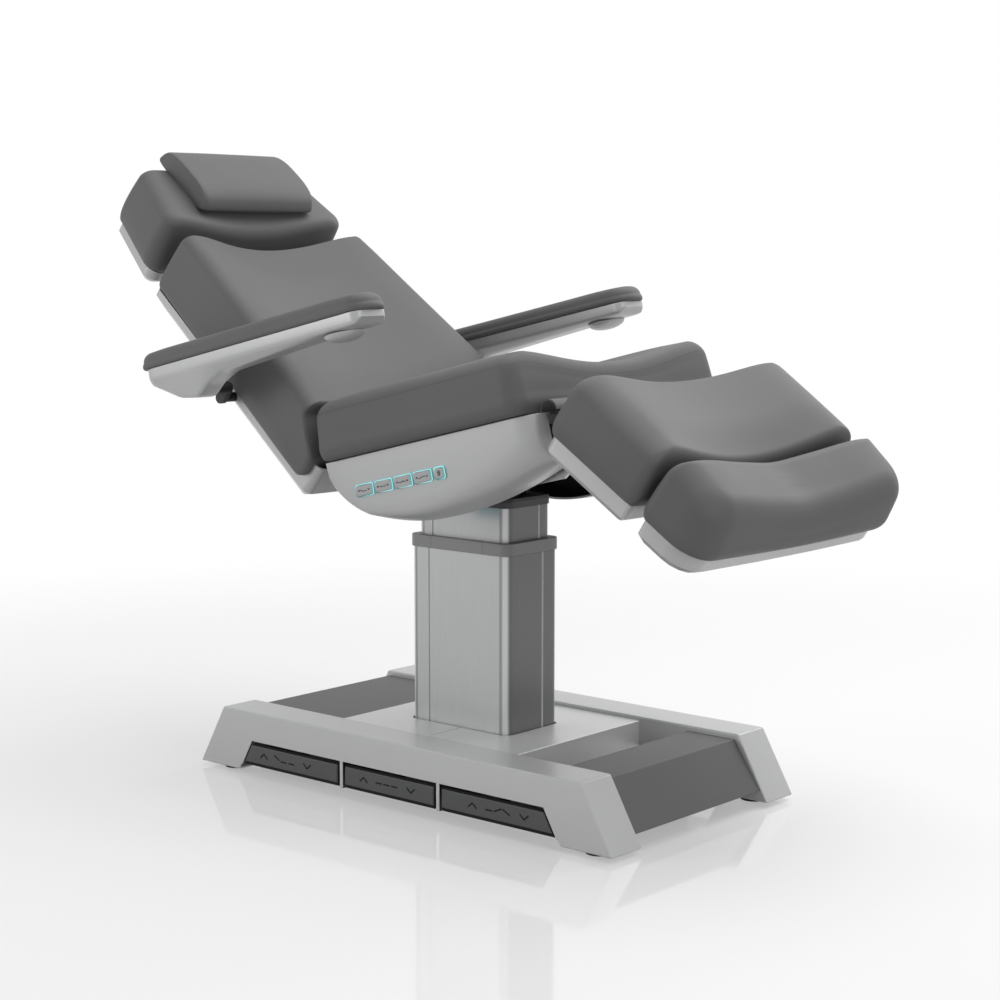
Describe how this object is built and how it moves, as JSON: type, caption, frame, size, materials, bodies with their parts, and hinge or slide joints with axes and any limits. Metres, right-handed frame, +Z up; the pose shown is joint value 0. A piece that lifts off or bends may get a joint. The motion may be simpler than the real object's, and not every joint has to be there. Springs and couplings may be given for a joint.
{
  "type": "procedure table",
  "caption": "Electric treatment chair on a lifting column and railed base, with tilting seat, reclining back, head section with pillow, swing-up arms and a pull-out leg section.",
  "frame": {"origin": "on the floor, at the middle of the base", "axes": "+X towards the foot end, +Y towards the patient's left side, +Z up"},
  "size_m": [1.7189, 0.904, 1.3357],
  "materials": {
    "silver_paint": "satin silver-grey paint",
    "dark_grey": "matt dark grey",
    "grey_leather": "smooth grey leatherette",
    "satin_aluminium": "satin anodised extrusion",
    "grey_plastic": "fine grain grey plastic",
    "zinc_steel": "zinc plated",
    "black_rubber": "black rubber"
  },
  "bodies": {
    "base": {"base_rail_right": "silver_paint", "base_rail_left": "silver_paint", "base_deck": "silver_paint", "head_end_panel": "dark_grey", "foot_end_panel": "dark_grey", "base_frame": "zinc_steel", "level_foot_head_right": "black_rubber", "level_foot_head_left": "black_rubber", "level_foot_foot_right": "black_rubber", "level_foot_foot_left": "black_rubber", "column_outer": "satin_aluminium", "column_collar": "grey_plastic", "pedal_bar": "zinc_steel", "lift_actuator": "dark_grey"},
    "lift": {"column_inner": "satin_aluminium", "column_head": "dark_grey", "lift_rod": "zinc_steel"},
    "seat": {"seat_frame": "zinc_steel", "tilt_pin": "zinc_steel", "side_cover_right": "silver_paint", "side_cover_left": "silver_paint", "seat_cushion": "grey_leather", "leg_flap": "grey_leather", "back_hinge_rod": "zinc_steel", "leg_hinge_rod": "zinc_steel", "back_actuator": "dark_grey", "leg_actuator": "dark_grey", "tilt_actuator": "dark_grey"},
    "back": {"back_frame": "zinc_steel", "back_shell": "silver_paint", "back_cushion": "grey_leather", "arm_bracket_right": "dark_grey", "arm_bracket_left": "dark_grey"},
    "head": {"head_shell": "silver_paint", "head_cushion": "grey_leather", "pillow": "grey_leather"},
    "arm_right": {"arm_shell_right": "silver_paint", "arm_pad_right": "grey_leather", "arm_knob_right": "silver_paint"},
    "arm_left": {"arm_shell_left": "silver_paint", "arm_pad_left": "grey_leather", "arm_knob_left": "silver_paint"},
    "leg": {"calf_frame": "zinc_steel", "calf_shell": "silver_paint", "calf_cushion": "grey_leather"},
    "foot": {"foot_slide": "zinc_steel", "foot_shell": "silver_paint", "foot_cushion": "grey_leather"},
    "back_rod": {"back_actuator_rod": "zinc_steel"},
    "leg_rod": {"leg_actuator_rod": "zinc_steel"},
    "tilt_rod": {"tilt_actuator_rod": "zinc_steel"},
    "pedal_back": {"pedal_back": "dark_grey"},
    "pedal_lift": {"pedal_lift": "dark_grey"},
    "pedal_leg": {"pedal_leg": "dark_grey"},
    "button_back": {"button_back": "grey_plastic"},
    "button_lift": {"button_lift": "grey_plastic"},
    "button_leg": {"button_leg": "grey_plastic"},
    "button_tilt": {"button_tilt": "grey_plastic"},
    "button_lamp": {"button_lamp": "grey_plastic"}
  },
  "joints": [
    {"name": "column_lift", "type": "slide", "parent": "base", "child": "lift", "axis": [0, 0, 1], "range_m": [-0.055, 0.25]},
    {"name": "seat_tilt", "type": "hinge", "parent": "lift", "child": "seat", "pos_m": [-0.009, 0, 0.672], "axis": [0, 1, 0], "range_deg": [-5, 13.4]},
    {"name": "back_recline", "type": "hinge", "parent": "seat", "child": "back", "pos_m": [-0.23835, 0, 0.64399], "axis": [0, 1, 0], "range_deg": [-51.9, 18.1]},
    {"name": "leg_lift", "type": "hinge", "parent": "seat", "child": "leg", "pos_m": [0.40025, 0, 0.79407], "axis": [0, 1, 0], "range_deg": [-46.4, 16]},
    {"name": "foot_extend", "type": "slide", "parent": "leg", "child": "foot", "axis": [0.8387, 0, -0.5446], "range_m": [0, 0.15]},
    {"name": "head_tilt", "type": "hinge", "parent": "back", "child": "head", "pos_m": [-0.74269, 0, 1.03659], "axis": [0, 1, 0], "range_deg": [-30, 8]},
    {"name": "arm_right_swing", "type": "hinge", "parent": "back", "child": "arm_right", "pos_m": [-0.43943, -0.405, 0.8291], "axis": [0, 1, 0], "range_deg": [-100, 0]},
    {"name": "arm_left_swing", "type": "hinge", "parent": "back", "child": "arm_left", "pos_m": [-0.43943, 0.405, 0.8291], "axis": [0, 1, 0], "range_deg": [-100, 0]},
    {"name": "pedal_back_rock", "type": "hinge", "parent": "base", "child": "pedal_back", "pos_m": [-0.28032, -0.268, 0.04], "axis": [0, 0, 1], "range_deg": [-3, 3], "stiffness_Nm_per_rad": 20},
    {"name": "pedal_lift_rock", "type": "hinge", "parent": "base", "child": "pedal_lift", "pos_m": [0, -0.268, 0.04], "axis": [0, 0, 1], "range_deg": [-3, 3], "stiffness_Nm_per_rad": 20},
    {"name": "pedal_leg_rock", "type": "hinge", "parent": "base", "child": "pedal_leg", "pos_m": [0.28032, -0.268, 0.04], "axis": [0, 0, 1], "range_deg": [-3, 3], "stiffness_Nm_per_rad": 20},
    {"name": "button_back_push", "type": "slide", "parent": "seat", "child": "button_back", "axis": [0, 1, 0], "range_m": [0, 0.002], "stiffness_N_per_m": 900},
    {"name": "button_lift_push", "type": "slide", "parent": "seat", "child": "button_lift", "axis": [0, 1, 0], "range_m": [0, 0.002], "stiffness_N_per_m": 900},
    {"name": "button_leg_push", "type": "slide", "parent": "seat", "child": "button_leg", "axis": [0, 1, 0], "range_m": [0, 0.002], "stiffness_N_per_m": 900},
    {"name": "button_tilt_push", "type": "slide", "parent": "seat", "child": "button_tilt", "axis": [0, 1, 0], "range_m": [0, 0.002], "stiffness_N_per_m": 900},
    {"name": "button_lamp_push", "type": "slide", "parent": "seat", "child": "button_lamp", "axis": [0, 1, 0], "range_m": [0, 0.002], "stiffness_N_per_m": 900},
    {"name": "back_rod_slide", "type": "slide", "parent": "seat", "child": "back_rod", "axis": [-0.9728, 0, -0.2317], "range_m": [-0.04821, 0.01694]},
    {"name": "leg_rod_slide", "type": "slide", "parent": "seat", "child": "leg_rod", "axis": [0.9728, 0, 0.2317], "range_m": [-0.01369, 0.03931]},
    {"name": "tilt_rod_slide", "type": "slide", "parent": "seat", "child": "tilt_rod", "axis": [0.9728, 0, 0.2317], "range_m": [-0.00279, 0.00715]}
  ],
  "couplings": [
    {"joint": "back_rod_slide", "follows": "back_recline", "m_per_rad": 0.053},
    {"joint": "leg_rod_slide", "follows": "leg_lift", "m_per_rad": -0.0483},
    {"joint": "tilt_rod_slide", "follows": "seat_tilt", "m_per_rad": 0.0297}
  ]
}
